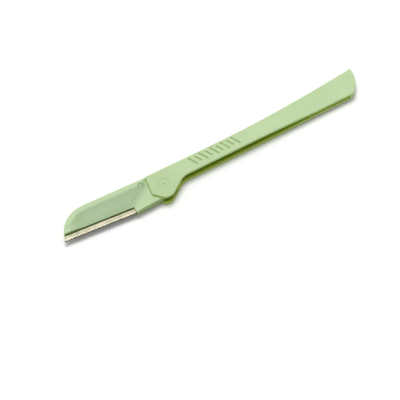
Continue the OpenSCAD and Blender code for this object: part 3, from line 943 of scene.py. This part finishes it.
def head_edge_round(x, y):
    """Rounding of the head's edges: most along the spine, some under the pad, least on the tang."""
    depth = spine_depth(x, y)
    spine = SHELL_ROUND + SPINE_MORE * smooth((BAND - depth) / BAND)
    heel = np.where((x > PAD_SPAN[0]) & (x < PAD_SPAN[1]), PAD_ROUND, SHELL_ROUND)
    return np.where(x > TANG_START, TANG_ROUND, np.where(depth < BAND, spine, heel))


def groove_loops():
    """Narrow loops along the groove and around the relief, so that both steps come out crisp."""
    along, across = unit(GROOVE_LEAN), unit(GROOVE_LEAN + 90)
    loops = []
    for span in GROOVE_LOOPS:
        near, far = ([GROOVE_FOOT + along * t + across * off for t in GROOVE_PLACES] for off in span)
        loops.append([tuple(p) for p in near + far[::-1]])
    for span in RELIEF_LOOPS:
        near, far = ([(RELIEF + off) * unit(a) for a in RELIEF_TURNS] for off in span)
        loops.append([tuple(p) for p in near + far[::-1]])
    return loops


def circle_loop(middle, radius, count=40):
    return [tuple(middle + radius * unit(360.0 * k / count)) for k in range(count)]


def blade_end(v):
    return EDGE_LENGTH - NOSE_WALL - v * math.tan(math.radians(NOSE_LEAN) - EDGE_TILT)


def blade_pocket(grow):
    """Outline of the blade's room in the shell, on every side larger than the blade by grow."""
    low, high = EDGE_BACK - grow, EDGE_BACK + BLADE_WIDTH + grow
    heel = -HEEL_BURY - grow
    return [edge_at(heel, low), edge_at(blade_end(low) + grow, low),
            edge_at(blade_end(high) + grow, high), edge_at(heel, high)]


def web_shade(x, y):
    """1 over the thin web, where the dark blade under it and painted shade of the hollow's slopes darken
    it, less by the heel pad and the nose; and on the tang in the slot, as painted shade.
    """
    thin = smooth((spine_depth(x, y) - BAND + WEB_EARLY) / WEB_RUN)
    by_heel = smooth((past(x, y, PAD_AT, PAD_OUT) + PAD_EARLY) / PAD_RUN)
    by_nose = NOSE_LESS * smooth((-x - NOSE_START) / NOSE_RUN)
    thin = thin * (1.0 - by_heel) * (1.0 - by_nose)
    return np.maximum(thin, smooth((TANG_REACH - np.hypot(x, y)) / TANG_RUN))


def front_shade(x, y):
    """The web's shade, and a ring of painted shade inside the rim of the round mark."""
    away = np.hypot(x - DIMPLE_AT[0], y - DIMPLE_AT[1])
    ring = smooth((RING_OUTER - away) / RING_OUTER_RUN) * smooth((away - RING_INNER) / RING_INNER_RUN)
    return np.maximum(web_shade(x, y), ring)


def head_shell(name, node, side):
    outline = divided(cut_outline("head_front_shell", HEAD_LEVEL), HEAD_STEP)
    low, high = outline.min(axis=0), outline.max(axis=0)
    grid = [(x, y) for x in np.arange(low[0], high[0], HEAD_GRID)
            for y in np.arange(low[1], high[1], HEAD_GRID)]
    loops = groove_loops()
    if side > 0:
        loops += [circle_loop(DIMPLE_AT, r) for r in DIMPLE_LOOPS]
    piece = moulded_half(name, side, outline, head_edge_round, head_height, grid, loops)
    pegs = [edge_at(blade_end(PEG_ACROSS) * (i + 0.5) / PEG_COUNT, PEG_ACROSS) for i in range(PEG_COUNT)]
    cuts = [post(0, 0, HEAD_BORE, CUT_LOW, CUT_HIGH, side),
            prism(blade_pocket(SEAT_CLEAR), CUT_LOW, BLADE_HALF + SEAT_CLEAR, side)]
    if side > 0:
        carved(piece, cuts + [post(x, y, PEG_RADIUS + SEAT_CLEAR, CUT_LOW, PEG_LENGTH + SEAT_CLEAR, side)
                              for x, y in pegs])
    else:
        carved(piece, cuts, [post(x, y, PEG_RADIUS, -PEG_LENGTH, PEG_ROOT, side) for x, y in pegs])
    finished(piece, node, "head", [HEAD_PLASTIC, SHADED_SLOT_PLASTIC])
    set_shade(piece, front_shade if side > 0 else web_shade)
    # Faces around the pivot and on the tang in the slot take the slot's material, whose deep green is
    # painted shade
    for face in piece.data.polygons:
        x, y = face.center.x / MM, face.center.y / MM
        if math.hypot(x, y) < DEEP_REACH and y < DEEP_TOP:
            face.material_index = 1
    return piece


handle_half("handle_front", "handle_front_half", 1)
handle_half("handle_back", "handle_back_half", -1)
head_shell("head_front", "head_front_shell", 1)
head_shell("head_back", "head_back_shell", -1)


# The small parts keep the CAD solids' shapes

def dressed(node, name, body, material, width, sharp=22.0, segments=3):
    """A finished copy of a CAD solid: coplanar triangles joined, its edges rounded by width where
    they are sharper than sharp, in degrees, and its flat faces kept flat by weighted normals."""
    bm = bmesh.new()
    bm.from_mesh(frame["nodes"][node].data)
    bmesh.ops.remove_doubles(bm, verts=bm.verts, dist=JOIN_WELD)
    bmesh.ops.dissolve_limit(bm, angle_limit=math.radians(0.4), verts=bm.verts, edges=bm.edges)
    weight = bm.edges.layers.float.new("bevel_weight_edge")
    for edge in bm.edges:
        edge.smooth = True
        if len(edge.link_faces) == 2 and edge.calc_face_angle(0.0) >= math.radians(sharp):
            edge[weight] = 1.0
    for face in bm.faces:
        face.smooth = True
    piece = new_object(name, bm)
    piece.data.materials.append(material)
    round_edges = piece.modifiers.new("round", "BEVEL")
    round_edges.limit_method = "WEIGHT"
    round_edges.offset_type = "OFFSET"
    round_edges.width = width * MM
    round_edges.segments = segments
    round_edges.use_clamp_overlap = False
    round_edges.miter_outer = "MITER_ARC"
    flattened(piece, weight=70, keep_sharp=False)
    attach(piece, body)
    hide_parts(node)
    return piece


pin = dressed("pivot_pin", "pin", "handle", HANDLE_PLASTIC, width=0.04)
cap = dressed("pivot_cap", "cap", "handle", HANDLE_PLASTIC, width=0.04)
# The pin and cap take the cheek's painted shade as well
set_shade(pin, mark_shade)
set_shade(cap, mark_shade)
dressed("blade", "blade_strip", "head", BLADE_STEEL, width=0.01, sharp=40.0, segments=1)
dressed("edge_guard", "guard_foil", "head", GUARD_STEEL, width=0.03, sharp=40.0,
        segments=2)


# Floor, light and camera, with their places and sizes in metres unless MM is named

FLOOR_SIDE = 3.0
FLOOR_DROP = 0.00002


def seen_ray(nodes, links):
    """1 for rays from the camera, a reflection or a refraction, else 0."""
    path = nodes.new("ShaderNodeLightPath").outputs
    first = maths(nodes, links, "MAXIMUM", path["Is Camera Ray"], path["Is Glossy Ray"])
    return maths(nodes, links, "MAXIMUM", first, path["Is Transmission Ray"])


def floor():
    """White paper: what is seen of it is a little brighter than the light that it throws back."""
    mesh = bpy.data.meshes.new("floor")
    corners = [(x * FLOOR_SIDE, y * FLOOR_SIDE, 0) for x, y in ((-1, -1), (1, -1), (1, 1), (-1, 1))]
    mesh.from_pydata(corners, [], [(0, 1, 2, 3)])
    ground = bpy.data.objects.new("floor", mesh)
    bpy.context.scene.collection.objects.link(ground)
    ground.location.z = -FLOOR_DROP
    mat, nodes, links, shader = new_material("floor_paper")
    nodes.remove(shader)
    mix = nodes.new("ShaderNodeMixShader")
    links.new(seen_ray(nodes, links), mix.inputs["Fac"])
    for place, colour in ((1, (0.80, 0.80, 0.79, 1.0)), (2, (1.05, 1.05, 1.05, 1.0))):
        paper = nodes.new("ShaderNodeBsdfDiffuse")
        paper.inputs["Color"].default_value = colour
        links.new(paper.outputs[0], mix.inputs[place])
    links.new(mix.outputs[0], nodes["Material Output"].inputs["Surface"])
    mesh.materials.append(mat)


def world():
    """An even white sky, which lights the razor less than it shows."""
    sky = bpy.data.worlds.new("studio")
    bpy.context.scene.world = sky
    sky.use_nodes = True
    nodes, links = sky.node_tree.nodes, sky.node_tree.links
    back = nodes["Background"]
    back.inputs["Color"].default_value = (*WHITE, 1.0)
    level = mapped(nodes, links, seen_ray(nodes, links), to_low=0.52, to_high=1.0)
    links.new(level, back.inputs["Strength"])


def lamp(name, place, aim, size, power):
    data = bpy.data.lights.new(name, "AREA")
    data.shape = "DISK"
    data.size = size
    data.energy = power
    obj = bpy.data.objects.new(name, data)
    bpy.context.scene.collection.objects.link(obj)
    obj.location = place
    obj.rotation_euler = (Vector(aim) - Vector(place)).to_track_quat("-Z", "Y").to_euler()


def camera(target, offset, lens):
    data = bpy.data.cameras.new("camera")
    data.lens = lens
    data.sensor_width = 36.0
    data.clip_start = 0.05
    data.clip_end = 20.0
    obj = bpy.data.objects.new("camera", data)
    bpy.context.scene.collection.objects.link(obj)
    obj.location = target + offset
    obj.rotation_euler = (target - obj.location).to_track_quat("-Z", "Y").to_euler()
    bpy.context.scene.camera = obj


floor()
world()
lamp("softbox", place=(0.06, 0.26, 0.96), aim=(0.02, 0.0, 0.0), size=0.55, power=5.5)
camera(target=Vector((8.75, -14.68, 2.5)) * MM, offset=Vector((-256.3, -358.8, 525.5)) * MM, lens=144.0)
bpy.context.scene.view_settings.view_transform = "Standard"
